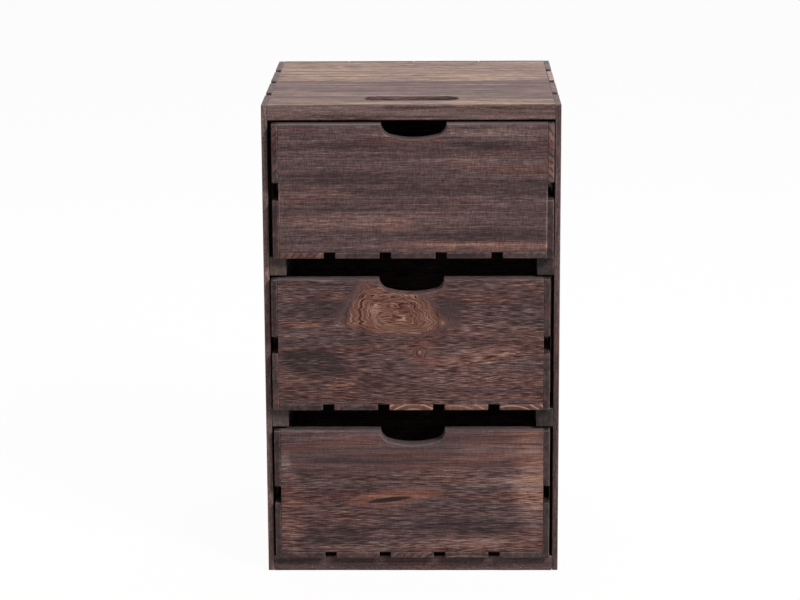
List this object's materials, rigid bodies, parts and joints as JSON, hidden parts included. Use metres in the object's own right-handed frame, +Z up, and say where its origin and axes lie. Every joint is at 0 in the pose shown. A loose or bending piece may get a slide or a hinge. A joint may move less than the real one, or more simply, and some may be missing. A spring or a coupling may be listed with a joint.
{
  "type": "wooden drawer chest",
  "caption": "Slatted torched-wood chest, a crate stood on end with crate drawers that slide on side runners, each with a half-round finger cut, and a hand slot in the top.",
  "frame": {"origin": "middle of the case's footprint, on the surface it stands on", "axes": "+Z up, -Y the way the drawers open, +X to the right as seen from the front"},
  "size_m": [0.305, 0.3314, 0.4962],
  "materials": {
    "torched_panel_wood": "torched and wiped, satin",
    "torched_slat_wood": "torched, satin",
    "runner_wood": "torched, matt",
    "nail_steel": "darkened"
  },
  "bodies": {
    "case": {"bottom_front_board": "torched_panel_wood", "bottom_rear_board": "torched_panel_wood", "top_front_board": "torched_panel_wood", "top_rear_board": "torched_panel_wood", "left_side_slat_1": "torched_slat_wood", "left_side_slat_2": "torched_slat_wood", "left_side_slat_3": "torched_slat_wood", "left_side_slat_4": "torched_slat_wood", "right_side_slat_1": "torched_slat_wood", "right_side_slat_2": "torched_slat_wood", "right_side_slat_3": "torched_slat_wood", "right_side_slat_4": "torched_slat_wood", "back_board_1": "torched_slat_wood", "back_board_2": "torched_slat_wood", "back_board_3": "torched_slat_wood", "back_board_4": "torched_slat_wood", "left_lower_runner": "runner_wood", "left_upper_runner": "runner_wood", "right_lower_runner": "runner_wood", "right_upper_runner": "runner_wood", "side_slat_nails": "nail_steel", "runner_nails": "nail_steel", "back_board_nails": "nail_steel"},
    "bottom_drawer": {"bottom_drawer_front": "torched_panel_wood", "bottom_drawer_back": "torched_panel_wood", "bottom_drawer_left_slat_1": "torched_slat_wood", "bottom_drawer_left_slat_2": "torched_slat_wood", "bottom_drawer_right_slat_1": "torched_slat_wood", "bottom_drawer_right_slat_2": "torched_slat_wood", "bottom_drawer_bottom_slat_1": "torched_slat_wood", "bottom_drawer_bottom_slat_2": "torched_slat_wood", "bottom_drawer_bottom_slat_3": "torched_slat_wood", "bottom_drawer_bottom_slat_4": "torched_slat_wood", "bottom_drawer_bottom_slat_5": "torched_slat_wood", "bottom_drawer_nails": "nail_steel"},
    "middle_drawer": {"middle_drawer_front": "torched_panel_wood", "middle_drawer_back": "torched_panel_wood", "middle_drawer_left_slat_1": "torched_slat_wood", "middle_drawer_left_slat_2": "torched_slat_wood", "middle_drawer_right_slat_1": "torched_slat_wood", "middle_drawer_right_slat_2": "torched_slat_wood", "middle_drawer_bottom_slat_1": "torched_slat_wood", "middle_drawer_bottom_slat_2": "torched_slat_wood", "middle_drawer_bottom_slat_3": "torched_slat_wood", "middle_drawer_bottom_slat_4": "torched_slat_wood", "middle_drawer_bottom_slat_5": "torched_slat_wood", "middle_drawer_nails": "nail_steel"},
    "top_drawer": {"top_drawer_front": "torched_panel_wood", "top_drawer_back": "torched_panel_wood", "top_drawer_left_slat_1": "torched_slat_wood", "top_drawer_left_slat_2": "torched_slat_wood", "top_drawer_right_slat_1": "torched_slat_wood", "top_drawer_right_slat_2": "torched_slat_wood", "top_drawer_bottom_slat_1": "torched_slat_wood", "top_drawer_bottom_slat_2": "torched_slat_wood", "top_drawer_bottom_slat_3": "torched_slat_wood", "top_drawer_bottom_slat_4": "torched_slat_wood", "top_drawer_bottom_slat_5": "torched_slat_wood", "top_drawer_nails": "nail_steel"}
  },
  "joints": [
    {"name": "bottom_drawer_slide", "type": "slide", "parent": "case", "child": "bottom_drawer", "axis": [0, -1, 0], "range_m": [-0.001, 0.2]},
    {"name": "middle_drawer_slide", "type": "slide", "parent": "case", "child": "middle_drawer", "axis": [0, -1, 0], "range_m": [-0.0025, 0.2]},
    {"name": "top_drawer_slide", "type": "slide", "parent": "case", "child": "top_drawer", "axis": [0, -1, 0], "range_m": [-0.0046, 0.2]}
  ]
}
